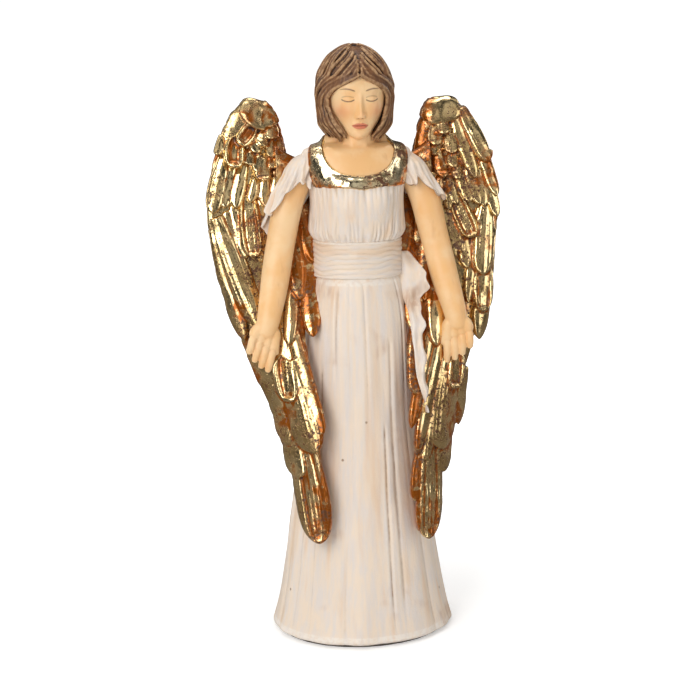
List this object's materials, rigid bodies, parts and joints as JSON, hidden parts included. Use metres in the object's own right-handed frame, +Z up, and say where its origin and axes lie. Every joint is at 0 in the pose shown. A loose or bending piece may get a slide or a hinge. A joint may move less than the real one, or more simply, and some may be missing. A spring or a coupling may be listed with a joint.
{
  "type": "angel figurine",
  "caption": "Standing angel figurine in cast resin: long pleated gown, hands held out and down, and tall feathered wings gilded all over.",
  "frame": {"origin": "centre of the flat base, on the surface it stands on", "axes": "+Z up, the face looks along -Y, and +X is the figure's left side"},
  "size_m": [0.053, 0.0276, 0.1026],
  "materials": {
    "gown_paint": "off-white paint over resin, with a beige and brown wash in the folds",
    "skin_paint": "satin flesh paint over resin, with blushed cheeks",
    "hair_paint": "brown paint, dry-brushed tan on the strands",
    "gold_leaf": "gold leaf over red-brown ground, worn in specks, with amber glaze in the hollows",
    "felt": "thin dark felt"
  },
  "bodies": {
    "root": {"felt_base_pad": "felt", "gown_skirt": "gown_paint", "waist_sash": "gown_paint", "gown_bodice": "gown_paint", "neckline_collar": "gold_leaf", "neck_and_shoulders": "skin_paint", "head": "skin_paint", "hair": "hair_paint", "back_mantle": "gown_paint", "left_arm": "skin_paint", "left_sleeve": "gown_paint", "left_wing": "gold_leaf", "left_wing_coverts": "gold_leaf", "left_wing_secondaries": "gold_leaf", "left_wing_primaries": "gold_leaf", "right_arm": "skin_paint", "right_sleeve": "gown_paint", "right_wing": "gold_leaf", "right_wing_coverts": "gold_leaf", "right_wing_secondaries": "gold_leaf", "right_wing_primaries": "gold_leaf"}
  },
  "joints": []
}
